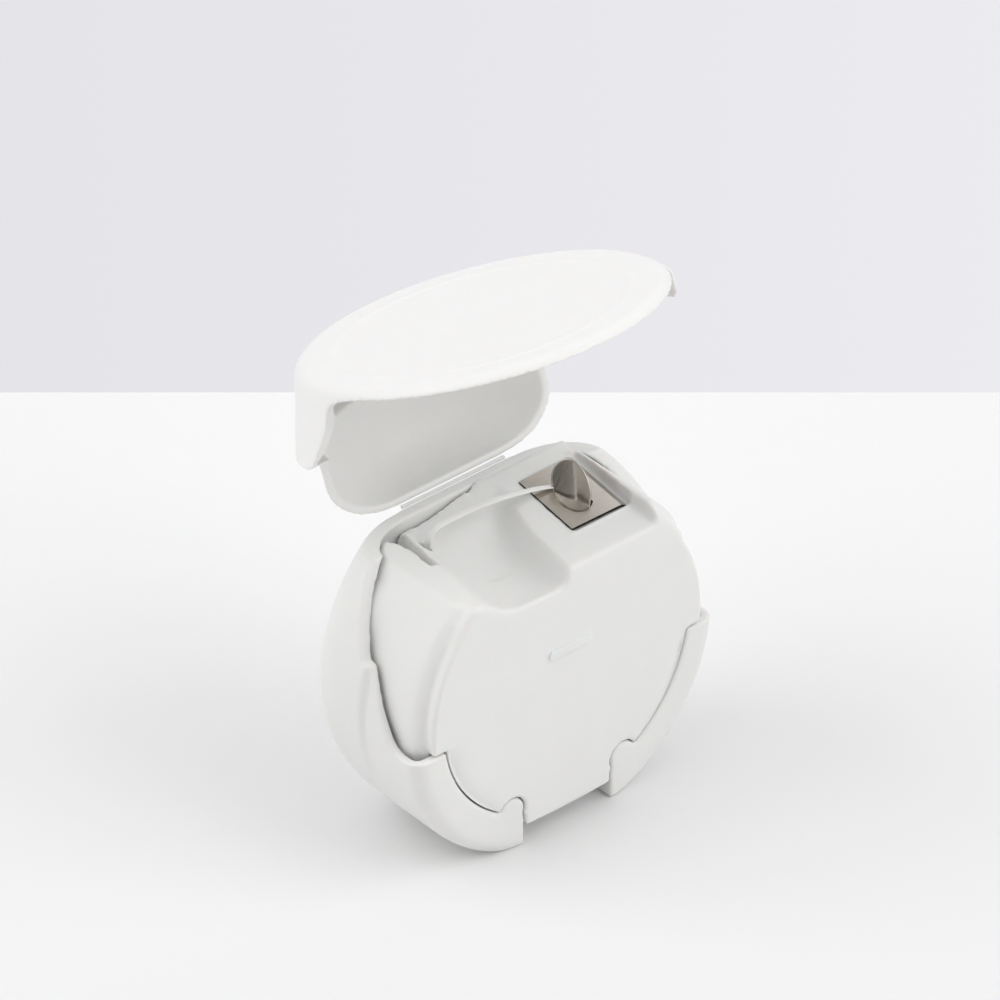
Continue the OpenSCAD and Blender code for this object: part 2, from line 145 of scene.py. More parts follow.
def backdrop_glowing_painted_light(name):
    """The wall: to camera rays it glows, painted light in a lilac that grows lighter to the right;
    to other rays it is matt paper.
    """
    made = paper(name, (0.8, 0.8, 0.82), (0.84, 0.84, 0.86))[0]
    nodes = made.node_tree.nodes
    links = made.node_tree.links
    across = add_node(nodes, "MapRange", From_Min=-0.12, From_Max=0.12)
    links.new(distance_along(nodes, links, sideways), across.inputs["Value"])
    tone = colour_mix(nodes, (0.78, 0.775, 0.81), (0.835, 0.828, 0.868))
    links.new(across.outputs["Result"], tone.inputs["Factor"])
    # painted light: the camera sees this glow instead of the lamps' light on the wall
    painted_light_glow = nodes.new("ShaderNodeEmission")
    links.new(tone.outputs["Result"], painted_light_glow.inputs["Color"])
    path = nodes.new("ShaderNodeLightPath")
    pick = nodes.new("ShaderNodeMixShader")
    links.new(path.outputs["Is Camera Ray"], pick.inputs["Fac"])
    links.new(nodes["Principled BSDF"].outputs["BSDF"], pick.inputs[1])
    links.new(painted_light_glow.outputs["Emission"], pick.inputs[2])
    links.new(pick.outputs["Shader"], nodes["Material Output"].inputs["Surface"])
    return made


def sheet_of_paper(name, corners, finish):
    bm = bmesh.new()
    bm.faces.new([bm.verts.new(c) for c in corners])
    mesh = bpy.data.meshes.new(name)
    bm.to_mesh(mesh)
    bm.free()
    mesh.materials.append(finish)
    made = bpy.data.objects.new(name, mesh)
    bpy.context.collection.objects.link(made)


# the table's far edge runs square to the camera's heading
heading = Vector((aim.x, aim.y, 0)).normalized()
sideways = Vector((heading.y, -heading.x, 0))
edge_out = heading * TABLE_EDGE
table_side = sideways * TABLE_REACH
table_way = heading * TABLE_REACH
sheet_of_paper("table", [edge_out + table_side, edge_out - table_side,
    edge_out - table_side - table_way, edge_out + table_side - table_way],
    table_with_painted_shade("table_paper"))
wall_foot = heading * WALL_AWAY + Vector((0, 0, WALL_FOOT))
wall_side = sideways * WALL_HALF
wall_up = Vector((0, 0, WALL_HIGH))
sheet_of_paper("wall", [wall_foot - wall_side, wall_foot + wall_side,
    wall_foot + wall_side + wall_up, wall_foot - wall_side + wall_up],
    backdrop_glowing_painted_light("wall_paper"))

# ---------------------------------------------------------------------------
# Light. Two softboxes, one to the right of the camera and one at the back left,
# with an even pale world, so that what faces the camera is a little darker.
# ---------------------------------------------------------------------------
LIT_POINT = Vector((0, 0, 0.03))
SOFTBOX_SIZE = 1.3


def soft_lamp(name, place, power):
    lamp = bpy.data.lights.new(name, "AREA")
    lamp.shape = "DISK"
    lamp.size = SOFTBOX_SIZE
    lamp.energy = power
    made = bpy.data.objects.new(name, lamp)
    bpy.context.collection.objects.link(made)
    made.location = place
    made.rotation_euler = (LIT_POINT - made.location).to_track_quat("-Z", "Y").to_euler()


soft_lamp("softbox_right", (0.62, -0.88, 0.95), 6.9)
soft_lamp("softbox_left", (-0.8, 0.6, 1.05), 6.4)
world = bpy.data.worlds.new("studio")
bpy.context.scene.world = world
world.use_nodes = True
air = world.node_tree.nodes["Background"]
air.inputs["Color"].default_value = (1, 1, 1, 1)
air.inputs["Strength"].default_value = 0.84
# a near-black sheet behind the camera, painted shade that stands for the dark end of the studio,
# which the steel mirrors
DARK_AWAY = 1.2
DARK_CORNERS = ((-0.55, -0.5), (0.55, -0.5), (0.55, 0.45), (-0.55, 0.45))
dark_mid = camera.location * DARK_AWAY
sheet_of_paper("dark_end", [dark_mid + sideways * a + Vector((0, 0, b)) for a, b in DARK_CORNERS],
    paper("painted_shade_behind_camera", (0.03, 0.03, 0.03), (0.05, 0.048, 0.045))[0])

# ---------------------------------------------------------------------------
# Rear shell. The round back cup with its two cradle arms, injection moulded
# in one piece of white polypropylene, with soft edges all round.
# ---------------------------------------------------------------------------


def moulded_grain():
    """Grain, flow clouding and gloss variation that all the white mouldings share."""
    group = bpy.data.node_groups.new("moulded_grain", "ShaderNodeTree")
    for label, kind in (("Position", "Vector"), ("Base", "Color"), ("Shade", "Color"),
            ("Grain Scale", "Float"), ("Gloss", "Float")):
        group.interface.new_socket(label, in_out="INPUT", socket_type="NodeSocket" + kind)
    for label, kind in (("Color", "Color"), ("Roughness", "Float"), ("Height", "Float")):
        group.interface.new_socket(label, in_out="OUTPUT", socket_type="NodeSocket" + kind)
    nodes = group.nodes
    links = group.links
    start = nodes.new("NodeGroupInput")
    end = nodes.new("NodeGroupOutput")
    # flow clouding, a few millimetres across
    cloud = add_node(nodes, "TexNoise", Scale=160, Detail=3)
    links.new(start.outputs["Position"], cloud.inputs["Vector"])
    tone = colour_mix(nodes)
    links.new(cloud.outputs["Fac"], tone.inputs["Factor"])
    links.new(start.outputs["Base"], tone.inputs["A"])
    links.new(start.outputs["Shade"], tone.inputs["B"])
    links.new(tone.outputs["Result"], end.inputs["Color"])
    # fine spark-eroded grain of the mould
    grain = add_node(nodes, "TexNoise", Detail=4, Roughness=0.6)
    links.new(start.outputs["Position"], grain.inputs["Vector"])
    links.new(start.outputs["Grain Scale"], grain.inputs["Scale"])
    links.new(grain.outputs["Fac"], end.inputs["Height"])
    # gloss varies a little with the clouding
    gloss = add_node(nodes, "MapRange", To_Min=-0.05, To_Max=0.05)
    links.new(cloud.outputs["Fac"], gloss.inputs["Value"])
    total = nodes.new("ShaderNodeMath")
    total.operation = "ADD"
    links.new(gloss.outputs["Result"], total.inputs[0])
    links.new(start.outputs["Gloss"], total.inputs[1])
    links.new(total.outputs["Value"], end.inputs["Roughness"])
    return group


grain_group = moulded_grain()


def raise_bump(nodes, links, height, shader, strength, distance):
    bump = add_node(nodes, "Bump", Strength=strength, Distance=distance)
    links.new(height, bump.inputs["Height"])
    links.new(bump.outputs["Normal"], shader.inputs["Normal"])


def white_plastic(name, base, shade, gloss, grain_scale=2600, grain_depth=0.05):
    made, nodes, links, shader = new_material(name)
    shader.inputs["Subsurface Weight"].default_value = 0.12
    shader.inputs["Subsurface Scale"].default_value = 0.0012
    shader.inputs["IOR"].default_value = 1.49
    coords = nodes.new("ShaderNodeTexCoord")
    grain = nodes.new("ShaderNodeGroup")
    grain.node_tree = grain_group
    grain.inputs["Base"].default_value = (*base, 1)
    grain.inputs["Shade"].default_value = (*shade, 1)
    grain.inputs["Gloss"].default_value = gloss
    grain.inputs["Grain Scale"].default_value = grain_scale
    links.new(coords.outputs["Object"], grain.inputs["Position"])
    links.new(grain.outputs["Color"], shader.inputs["Base Color"])
    links.new(grain.outputs["Roughness"], shader.inputs["Roughness"])
    raise_bump(nodes, links, grain.outputs["Height"], shader, grain_depth, 0.0002)
    return made


def welded_copy(node):
    """A bmesh of the CAD node with its loose triangles joined."""
    bm = bmesh.new()
    bm.from_mesh(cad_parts[node].data)
    bmesh.ops.remove_doubles(bm, verts=bm.verts, dist=0.004 * MM)
    return bm


def softened(bm, name, voxel, rounds, share):
    """Remeshes a closed bmesh evenly and rounds its edges, as a mould's edges are rounded."""
    mesh = bpy.data.meshes.new(name)
    bm.to_mesh(mesh)
    bm.free()
    made = bpy.data.objects.new(name, mesh)
    bpy.context.collection.objects.link(made)
    remesh = made.modifiers.new("even", "REMESH")
    remesh.mode = "VOXEL"
    remesh.voxel_size = voxel * MM
    remesh.use_smooth_shade = True
    smooth = made.modifiers.new("soft", "SMOOTH")
    smooth.factor = 0.5
    smooth.iterations = rounds
    fewer = made.modifiers.new("fewer", "DECIMATE")
    fewer.ratio = share
    evaluated = made.evaluated_get(bpy.context.evaluated_depsgraph_get())
    shaped = bpy.data.meshes.new_from_object(evaluated)
    made.modifiers.clear()
    made.data = shaped
    shaped.name = name
    for polygon in shaped.polygons:
        polygon.use_smooth = True
    return made


def finish_piece(piece, finishes, body, node):
    """Gives a piece its materials and puts it in place of its CAD node."""
    for finish in finishes:
        piece.data.materials.append(finish)
    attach(piece, body)
    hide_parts(node)


shell_finish = white_plastic("shell_white", (0.79, 0.79, 0.775), (0.77, 0.77, 0.755), 0.42)
shell = softened(welded_copy("rear_shell"), "shell_moulding", 0.24, 20, 0.5)
finish_piece(shell, [shell_finish], "body", "rear_shell")

# ---------------------------------------------------------------------------
# Bobbin core. The short grey tube that the floss is wound on, cut from
# extruded polystyrene and pushed over the shell's hub post.
# ---------------------------------------------------------------------------
core_finish = white_plastic("core_grey", (0.72, 0.72, 0.7), (0.66, 0.66, 0.64), 0.5, 1800, 0.1)
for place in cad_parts["bobbin_core"].material_slots:
    place.material = core_finish

# ---------------------------------------------------------------------------
# Floss winding. About fifty metres of waxed nylon floss, wound to and fro on
# the core in close turns, so its outside is ribbed and slightly crowned.
# ---------------------------------------------------------------------------
TURNS = 16
STEPS_PER_TURN = 6
SPIN_STEPS = 120
RIDGE_HIGH = 0.13 * MM
WINDING_INSET = 0.15 * MM
CROWN = 0.06
FLOSS_WIDE = 0.8 * MM


def fibre_finish():
    made, nodes, links, shader = new_material("floss_fibre")
    shader.inputs["Sheen Weight"].default_value = 0.25
    coords = nodes.new("ShaderNodeTexCoord")
    stretched = add_node(nodes, "Mapping", Scale=(60, 4, 1))
    links.new(coords.outputs["UV"], stretched.inputs["Vector"])
    fibres = add_node(nodes, "TexNoise", Scale=1, Detail=5)
    links.new(stretched.outputs["Vector"], fibres.inputs["Vector"])
    tone = colour_mix(nodes, (0.8, 0.79, 0.76), (0.95, 0.95, 0.94))
    links.new(fibres.outputs["Fac"], tone.inputs["Factor"])
    links.new(tone.outputs["Result"], shader.inputs["Base Color"])
    wax = add_node(nodes, "MapRange", To_Min=0.35, To_Max=0.6)
    links.new(fibres.outputs["Fac"], wax.inputs["Value"])
    links.new(wax.outputs["Result"], shader.inputs["Roughness"])
    raise_bump(nodes, links, fibres.outputs["Fac"], shader, 0.5, 0.0001)
    return made


def object_from(bm, name, smooth=True):
    mesh = bpy.data.meshes.new(name)
    bm.to_mesh(mesh)
    bm.free()
    for polygon in mesh.polygons:
        polygon.use_smooth = smooth
    made = bpy.data.objects.new(name, mesh)
    bpy.context.collection.objects.link(made)
    return made


fibre = fibre_finish()
wind_low, wind_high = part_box("floss_winding")
core_low, core_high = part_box("bobbin_core")
wind_axis_z = (wind_low[2] + wind_high[2]) / 2
wind_r = (wind_high[2] - wind_low[2]) / 2
core_r = (core_high[2] - core_low[2]) / 2
profile = [Vector((0, wind_low[1], wind_axis_z + core_r))]
for step in range(TURNS * STEPS_PER_TURN + 1):
    share = step / (TURNS * STEPS_PER_TURN)
    ridge = abs(math.sin(share * TURNS * math.pi))
    crown = 1 - (2 * share - 1) ** 6 * CROWN
    profile.append(Vector((0, wind_low[1] + (wind_high[1] - wind_low[1]) * share,
        wind_axis_z + (wind_r - WINDING_INSET) * crown + RIDGE_HIGH * ridge)))
profile.append(Vector((0, wind_high[1], wind_axis_z + core_r)))
bm = bmesh.new()
points = [bm.verts.new(p) for p in profile]
for a, b in zip(points, points[1:] + points[:1]):
    bm.edges.new((a, b))
bmesh.ops.spin(bm, geom=bm.verts[:] + bm.edges[:], cent=(0, 0, wind_axis_z), axis=(0, 1, 0),
    angle=2 * math.pi, steps=SPIN_STEPS, use_merge=True)
bmesh.ops.remove_doubles(bm, verts=bm.verts, dist=0.002 * MM)
bmesh.ops.recalc_face_normals(bm, faces=bm.faces)
# the fibres run round the winding, in strips as wide as the floss
uv = bm.loops.layers.uv.new("turns")
for face in bm.faces:
    for loop in face.loops:
        p = loop.vert.co
        loop[uv].uv = ((p.y - wind_low[1]) / FLOSS_WIDE / 12,
            math.atan2(p.x, p.z - wind_axis_z) * 4)
finish_piece(object_from(bm, "floss_wound"), [fibre], "bobbin", "floss_winding")

# ---------------------------------------------------------------------------
# Cassette. The inner white drum that covers the bobbin, with the finger scoop,
# the slotted ridge and the cutter's platform moulded into its top.
# ---------------------------------------------------------------------------
FACE_Y = -11
BACK_Y = 9.2
BODY_Z = 23.7
DRUM_R = 23.7
PLATEAU_R = 22.9
PLATEAU_EDGE = 0.9
STEP_FROM = 1.2
STEP_LONG = 1.9
STEP_HIGH = 0.8
ROUND_Y = 4.5
ROUND_R = 4.7
CUT_Z = 35.3
DECK_Z = 39.7
DECK_RISE = 0.0769
RIDGE_Z = 40.6
TROUGH_X = 1.4
FRONT_EDGE = 0.8
# the cradle arms that the face and the sides fit: their middle, their top and their lips' radius
ARM_Z = 22.5
ARM_TOP = 21.5
LIP_R = 20.4
BAR_Z = 27.8
BAR_HALF = 2.75
BAR_R = 0.75
BAR_HIGH = 0.45
BAR_SUNK = 0.15
BAR_STEPS = 48
# the scoop's right wall and left slope: how far from its edge, and how high
SCOOP_WALL = ((-5.5, 35.5), (-3, 35.8), (-2, 36.3), (-1.3, 37), (-0.8, 38), (-0.4, 39.3),
    (0, 40.7), (0.5, 42.6), (1.2, 45))
SCOOP_SLOPE = ((-1, 42), (0, 40.75), (1.2, 39.6), (3, 38.2), (5, 36.95), (7.2, 36.1), (9.4, 35.6))
# the left edge of the slotted channel: depth, and x
CHANNEL_LEFT = ((0, -13.3), (3.9, -13.1), (6.3, -13.25), (7.6, -14), (9.2, -14.6))


def clip(x):
    return min(1, max(0, x))


def eased(t):
    return t * t * (3 - 2 * t)


def rounding(t):
    """Height of a unit quarter circle at t."""
    return math.sqrt(max(0, 1 - t * t))


def soft_min(a, b, k):
    h = clip(0.5 + 0.5 * (b - a) / k)
    return b + (a - b) * h - k * h * (1 - h)


def soft_max(a, b, k):
    return -soft_min(-a, -b, k)


def along_table(points, x):
    """The height at x from a table of points, in straight steps."""
    if x <= points[0][0]:
        return points[0][1]
    for (x0, z0), (x1, z1) in zip(points, points[1:]):
        if x <= x1:
            return z0 + (z1 - z0) * ((x - x0) / (x1 - x0))
    return points[-1][1]


def drum_radius(y):
    """Radius of the cassette at depth y: plateau, soft step, side wall and rounded back."""
    radius = PLATEAU_R
    if y < FACE_Y + PLATEAU_EDGE:
        t = clip((FACE_Y + PLATEAU_EDGE - y) / PLATEAU_EDGE)
        radius = PLATEAU_R - PLATEAU_EDGE + PLATEAU_EDGE * rounding(t)
    if y > FACE_Y + STEP_FROM:
        t = min(1, (y - FACE_Y - STEP_FROM) / STEP_LONG)
        radius = PLATEAU_R + STEP_HIGH * (1 - math.cos(math.pi * t)) / 2
    if y > ROUND_Y:
        t = min(1, (y - ROUND_Y) / ROUND_R)
        radius = DRUM_R - ROUND_R + ROUND_R * rounding(t)
    return radius


def platform_height(y):
    return DECK_Z + DECK_RISE * (y - FACE_Y)


def from_trough(x, y):
    """Distances along and across the trough that leads the floss to the cutter."""
    dx = x - TROUGH_X
    dy = y - BACK_Y
    return dx * 0.653 - dy * 0.758, -dx * 0.758 - dy * 0.653


def scoop_height(x, y):
    """The finger scoop: a bowl with a steep right wall, a gentle left one and a rising back."""
    # the floor's arc from front to back, 14 mm in radius and lowest at y -3.96
    off = y + 3.96
    floor = 35.8 + 14 - math.sqrt(max(0.01, 196 - off ** 2)) if abs(off) < 13.9 else 49
    u, v = from_trough(x, y)
    back = soft_max(41.55 - 0.095 * u - 0.45 * v, 39.1 - 0.5 * max(0, 8 - y), 1.2)
    if y > -3:
        floor = soft_min(floor, back, 1.4)
    # the right wall leans further back towards the rear
    from_edge = x - (0.4 + 0.096 * (y + 11.2))
    lean = 1 + 1.7 * eased(clip((y + 3) / 9))
    wall = along_table(SCOOP_WALL, (from_edge - 0.7 * (lean - 1)) / lean)
    slope = along_table(SCOOP_SLOPE, x + 13.4 - 0.12 * (y + 9.4))
    return soft_max(floor, soft_max(wall, slope, 0.8), 1.6)


def cassette_height(x, y):
    """Height of the cassette's top at x and y, in millimetres."""
    top = platform_height(y)
    # the shallow trough that leads the floss to the cutter
    v = from_trough(x, y)[1]
    if x > 0 and y > 2.5:
        begin = clip((y - 2.5) / 1.5)
        fade = clip((6.2 - x) / 3)
        sink = clip(v / 1.1) * begin * fade
        top = top + 0.25 * clip((2 - abs(v)) / 2) * fade * begin - 0.85 * sink
    # the ridge on the left
    if x < -4:
        top = RIDGE_Z
    elif x < -2:
        top = RIDGE_Z + (top - RIDGE_Z) * (x + 4) / 2
    if x < 5.2 and (x < 3.5 or y > 6):
        top = soft_min(top, scoop_height(x, y), 1.1)
    # the fin on the platform's right
    if x > 14.4 and y < 7:
        ends = clip((7 - y) / 1.2) * clip((y + 10.9) / 1.2)
        top += (41.5 + 0.03 * (y + 9.6) - top) * eased(clip((x - 14.55) / 0.8)) * ends
    # the slotted channel in the left ridge, and the outlet beside it
    if y > 0.1 and along_table(CHANNEL_LEFT, y) < x < -12.2 + 0.14 * (y - 0.4):
        top = min(top, 38.6 - 0.1 * y)
    if y > 8.2 and x < -9.5:
        top = min(top, 39.4)
    if math.hypot(x + 10.1, (y - 5.3) * 0.8) < 0.75:
        top = CUT_Z + 0.1
    # the seat of the cutter, the pocket under its tooth and the low border in front of it
    across = x - 5.85 - 0.08 * (y + 5.2)
    if -0.3 < across < 9.3 and -5.4 < y < 6.3:
        top = platform_height(y) - 0.45
        if math.hypot(x - 9.1, y + 0.9) < 3.3:
            top -= 1.3
    elif -0.9 < across < 9.3 and -6.1 < y < 6:
        top += 0.22 * clip((-5.4 - y) * 4) * clip((y + 6.1) * 4)
    # the soft front edge
    if y < FACE_Y + FRONT_EDGE:
        top -= FRONT_EDGE * (1 - rounding((FACE_Y + FRONT_EDGE - y) / FRONT_EDGE))
    # the drum's outline, which the top doesn't pass
    r = DRUM_R if x > 1.2 and y > ROUND_Y else drum_radius(y)
    if x > 13:
        r += 0.35
    return soft_min(top, BODY_Z + math.sqrt(max(0, r * r - x * x)), 0.5)


def reshape(piece, placed):
    """Moves each vertex to placed(place, normal). All are read before the first one moves."""
    facing = [v.normal.copy() for v in piece.data.vertices]
    places = [placed(v.co, normal) for v, normal in zip(piece.data.vertices, facing)]
    for v, place in zip(piece.data.vertices, places):
        v.co = place


def verts_in(geometry):
    return [g for g in geometry if isinstance(g, bmesh.types.BMVert)]


# the CAD drum below CUT_Z, closed again
bm = welded_copy("cassette")
cut = bmesh.ops.bisect_plane(bm, geom=bm.verts[:] + bm.edges[:] + bm.faces[:], dist=0.0001 * MM,
    plane_co=(0, 0, CUT_Z * MM), plane_no=(0, 0, 1), clear_outer=True)
rim = [e for e in cut["geom_cut"] if isinstance(e, bmesh.types.BMEdge)]
bmesh.ops.triangle_fill(bm, edges=rim, use_beauty=True, normal=(0, 0, 1))
# the sculpted top: a fine grid over the drum's plan, raised to the height of each point
top_verts = bmesh.ops.create_grid(bm, x_segments=226, y_segments=101, size=1)["verts"]
top_faces = {f for v in top_verts for f in v.link_faces}
for v in top_verts:
    y = FACE_Y + (v.co.y + 1) / 2 * (BACK_Y - FACE_Y)
    y = min(max(y, FACE_Y + 0.002), BACK_Y - 0.002)
    r = DRUM_R if v.co.x > 0 and y > ROUND_Y else drum_radius(y)
    x = v.co.x * math.sqrt(r ** 2 - (CUT_Z - BODY_Z) ** 2)
    z = max(CUT_Z, cassette_height(x, y)) if abs(v.co.x) < 0.9999 else CUT_Z
    if x > 1.2 and y > 9:
        y = 9.6
    v.co = Vector((x, y, z)) * MM
sunk = bmesh.ops.extrude_face_region(bm, geom=list(top_faces), use_keep_orig=True)["geom"]
for v in verts_in(sunk):
    v.co.z = (CUT_Z - 0.25) * MM
bmesh.ops.recalc_face_normals(bm, faces=bm.faces)
cassette = softened(bm, "cassette_moulding", 0.24, 7, 0.5)


def fitted(co, normal):
    """Fits the sides to the shell, with a groove behind the face, and dips the face at the lips."""
    p = co / MM
    r = Vector((p.x, 0, p.z - BODY_Z))
    out = r.normalized() if r.length > 1 else Vector((0, 0, 1))
    push = 0
    if r.length > 21 and out.dot(normal) > 0:
        ends = clip((9 - p.y) / 1.5)
        snug = 0.7 * clip((p.y - 1) / 3) * ends
        cradled = 0.6 * clip((p.y + 7.5) / 1.5) * clip((ARM_TOP - p.z) / 3) * ends
        push = max(snug, cradled) - 0.6 * math.exp(-((p.y + 9.5) / 1.3) ** 2)
        push *= clip((38.5 - p.z) / 3) * eased(min(1, out.dot(normal) / 0.5))
        push *= min(1, (r.length - 21) / 0.8)
    dip = 0
    if normal.y < 0 and p.y < FACE_Y + 1.5 and abs(p.x) > 10:
        inside_lip = min(0, math.hypot(p.x, p.z - ARM_Z) - LIP_R)
        dip = 0.9 * math.exp(-(inside_lip / 1.6) ** 2) * clip((ARM_TOP - p.z) / 3)
        dip *= clip((abs(p.x) - 10) / 3) * normal.y ** 2 * clip((p.z - 4) / 3)
    return co + out * push * MM + Vector((0, dip * MM, 0))


reshape(cassette, fitted)
cassette_finish = white_plastic("cassette_white", (0.8, 0.8, 0.787), (0.78, 0.78, 0.767), 0.45)
finish_piece(cassette, [cassette_finish], "body", "cassette")
# the low bar on the face, a stadium outline raised with a bevelled rim
bm = bmesh.new()
bar_outline = []
for k in range(BAR_STEPS):
    a = 2 * math.pi * k / BAR_STEPS
    end = BAR_HALF if math.cos(a) > 0 else -BAR_HALF
    bar_outline.append(bm.verts.new(Vector((end + BAR_R * math.cos(a), FACE_Y + BAR_SUNK,
        BAR_Z + BAR_R * math.sin(a))) * MM))
raised = bmesh.ops.extrude_face_region(bm, geom=[bm.faces.new(bar_outline)], use_keep_orig=True)
bmesh.ops.translate(bm, verts=verts_in(raised["geom"]), vec=(0, -BAR_HIGH * MM, 0))
rim = [e for e in bm.edges if all(v.co.y < (FACE_Y - 0.2) * MM for v in e.verts)]
bmesh.ops.bevel(bm, geom=rim, offset=0.14 * MM, affect="EDGES", segments=3, profile=0.5,
    material=-1)
bmesh.ops.recalc_face_normals(bm, faces=bm.faces)
bar = object_from(bm, "cassette_bar")
finish_piece(bar, [cassette_finish], "body", "cassette")

# ---------------------------------------------------------------------------
# Cutter. A plate of thin stainless steel pressed into the platform, its tooth
# punched out and bent up so that the floss can be drawn under it and cut.
# ---------------------------------------------------------------------------
PLATE_UP = 0.17
PLATE_THICK = 0.34
PLATE_CORNERS = ((5.45, -5.15), (13.6, -5.25), (14.35, 6.15), (6.3, 6.05))
FOLD_X = 13.5
FOLD = (0.85, 0, -0.42)
WINDOW_STEPS = 28
# the line that the tooth is bent up along, and the way the tooth's hollow side faces
FOOT_A = Vector((9.0, 2.2))
FOOT_B = Vector((11.2, -2.6))
FOOT_FRONT = Vector((-0.92, -0.39))
TOOTH_GRID = 30
TOOTH_HIGH = 4.1
TOOTH_LEAN = 1.8
TOOTH_SKEW = 0.42
TOOTH_BACK = (0.24, 0.1, -0.08)
CREASE_U = 0.12
# the share of the tongue that lies below the plate, as the dished root of the tooth
ROOT_SHARE = 0.42
ROOT_REACH = 3.05


def steel_finish(name, dark, light):
    made, nodes, links, shader = new_material(name)
    shader.inputs["Metallic"].default_value = 1
    coords = nodes.new("ShaderNodeTexCoord")
    brushed = add_node(nodes, "Mapping", Scale=(400, 9000, 400))
    links.new(coords.outputs["Object"], brushed.inputs["Vector"])
    lines = add_node(nodes, "TexNoise", Scale=1, Detail=3)
    links.new(brushed.outputs["Vector"], lines.inputs["Vector"])
    tone = colour_mix(nodes, dark, light)
    links.new(lines.outputs["Fac"], tone.inputs["Factor"])
    links.new(tone.outputs["Result"], shader.inputs["Base Color"])
    gloss = add_node(nodes, "MapRange", To_Min=0.16, To_Max=0.3)
    links.new(lines.outputs["Fac"], gloss.inputs["Value"])
    links.new(gloss.outputs["Result"], shader.inputs["Roughness"])
    raise_bump(nodes, links, lines.outputs["Fac"], shader, 0.1, 0.00005)
    return made


steel = steel_finish("cutter_steel", (0.56, 0.51, 0.46), (0.74, 0.7, 0.65))
# near-black steel for the plate's side faces: a painted shadow line along its edges
plate_edge_painted_shadow = steel_finish("cutter_edge_painted_shadow", (0.045, 0.035, 0.028), (0.09, 0.075, 0.06))
# a darker copy of the same steel for the tooth's broad faces: painted shade
tooth_painted_shade_steel = steel_finish("cutter_tooth_painted_shade", (0.3, 0.275, 0.235), (0.5, 0.465, 0.41))


def on_plate(x, y, up):
    """A point on the cutter's plate in millimetres, up above it."""
    return Vector((x, y, platform_height(y) + PLATE_UP + up)) * MM


def loop_of(bm, points):
    verts = [bm.verts.new(p) for p in points]
    return [bm.edges.new((a, b)) for a, b in zip(verts, verts[1:] + verts[:1])]


def face_up(bm):
    bmesh.ops.recalc_face_normals(bm, faces=bm.faces)
    if sum(f.normal.z for f in bm.faces) < 0:
        bmesh.ops.reverse_faces(bm, faces=bm.faces)


# the plate, with the window that the tooth was punched from
foot_mid = (FOOT_A + FOOT_B) / 2
foot_way = (FOOT_B - FOOT_A) / 2
bm = bmesh.new()
outline = loop_of(bm, [on_plate(x, y, 0) for x, y in PLATE_CORNERS])
window = []
for k in range(WINDOW_STEPS):
    a = 2 * math.pi * k / WINDOW_STEPS
    reach = 3.1 if math.sin(a) > 0 else 0.35
    along = math.cos(a) + TOOTH_SKEW * max(0, math.sin(a))
    spot = foot_mid + foot_way * along + FOOT_FRONT * reach * math.sin(a)
    window.append(on_plate(spot.x, spot.y, 0))
outline += loop_of(bm, window)
bmesh.ops.triangle_fill(bm, edges=outline, use_beauty=True, normal=(0, 0, 1))
face_up(bm)
# the right side, folded down beside the fin
right = [e for e in bm.edges if e.is_boundary and all(v.co.x > FOLD_X * MM for v in e.verts)]
fold = bmesh.ops.extrude_edge_only(bm, edges=right)["geom"]
bmesh.ops.translate(bm, verts=verts_in(fold), vec=Vector(FOLD) * MM)
face_up(bm)
under = bmesh.ops.extrude_face_region(bm, geom=bm.faces[:], use_keep_orig=True)["geom"]
bmesh.ops.translate(bm, verts=verts_in(under), vec=(0, 0, -PLATE_THICK * MM))
bmesh.ops.recalc_face_normals(bm, faces=bm.faces)
# the side faces take the near-black steel, a painted shadow line along the plate's edges
for face in bm.faces:
    face.smooth = False
    face.material_index = 1 if abs(face.normal.z) < 0.3 else 0
plate = object_from(bm, "cutter_plate", False)
finish_piece(plate, [steel, plate_edge_painted_shadow], "body", "cutter")

# the tooth: a tongue pressed up out of the window, hollow towards the floss, creased down its
# middle; u runs across it and up along it, from its root in the window to its tip
bm = bmesh.new()
tongue = bmesh.ops.create_grid(bm, x_segments=TOOTH_GRID, y_segments=TOOTH_GRID, size=1)["verts"]
for v in tongue:
    u, up = v.co.x, (v.co.y + 1) / 2
    crease = (0.6 if u < CREASE_U else 1.2) * abs(u - CREASE_U) ** 1.1
    if up > ROOT_SHARE:
        rise = (up - ROOT_SHARE) / (1 - ROOT_SHARE)
        width = max(0.015, 1 - rise ** 3) ** 0.5 * (1 + 0.1 * math.sin(math.pi * rise))
        spot = foot_mid + foot_way * (u * width - TOOTH_SKEW * rise)
        spot -= FOOT_FRONT * TOOTH_LEAN * rise
        spot += FOOT_FRONT * crease * width * (1 - 0.3 * rise)
        v.co = on_plate(spot.x, spot.y, TOOTH_HIGH * rise * (1 - 0.06 * rise))
    else:
        t = up / ROOT_SHARE
        width = max(0.015, 1 - (1 - t) ** 2.4) ** 0.5
        spot = foot_mid + foot_way * (u * width + TOOTH_SKEW * (1 - t))
        spot += FOOT_FRONT * (ROOT_REACH * (1 - t) + crease * t)
        v.co = on_plate(spot.x, spot.y, -0.08 - math.sin(math.pi * t) ** 0.8 * (1 - u * u))
bmesh.ops.recalc_face_normals(bm, faces=bm.faces)
broad = set(bm.faces[:])
back = bmesh.ops.extrude_face_region(bm, geom=bm.faces[:], use_keep_orig=True)["geom"]
broad |= {g for g in back if isinstance(g, bmesh.types.BMFace)}
for v in verts_in(back):
    v.co += Vector(TOOTH_BACK) * MM
# the broad faces take the darker steel, painted shade; the cut edges the plain steel
for face in bm.faces:
    face.material_index = 0 if face in broad else 1
bmesh.ops.recalc_face_normals(bm, faces=bm.faces)
tooth = object_from(bm, "cutter_tooth")
finish_piece(tooth, [tooth_painted_shade_steel, steel], "body", "cutter")

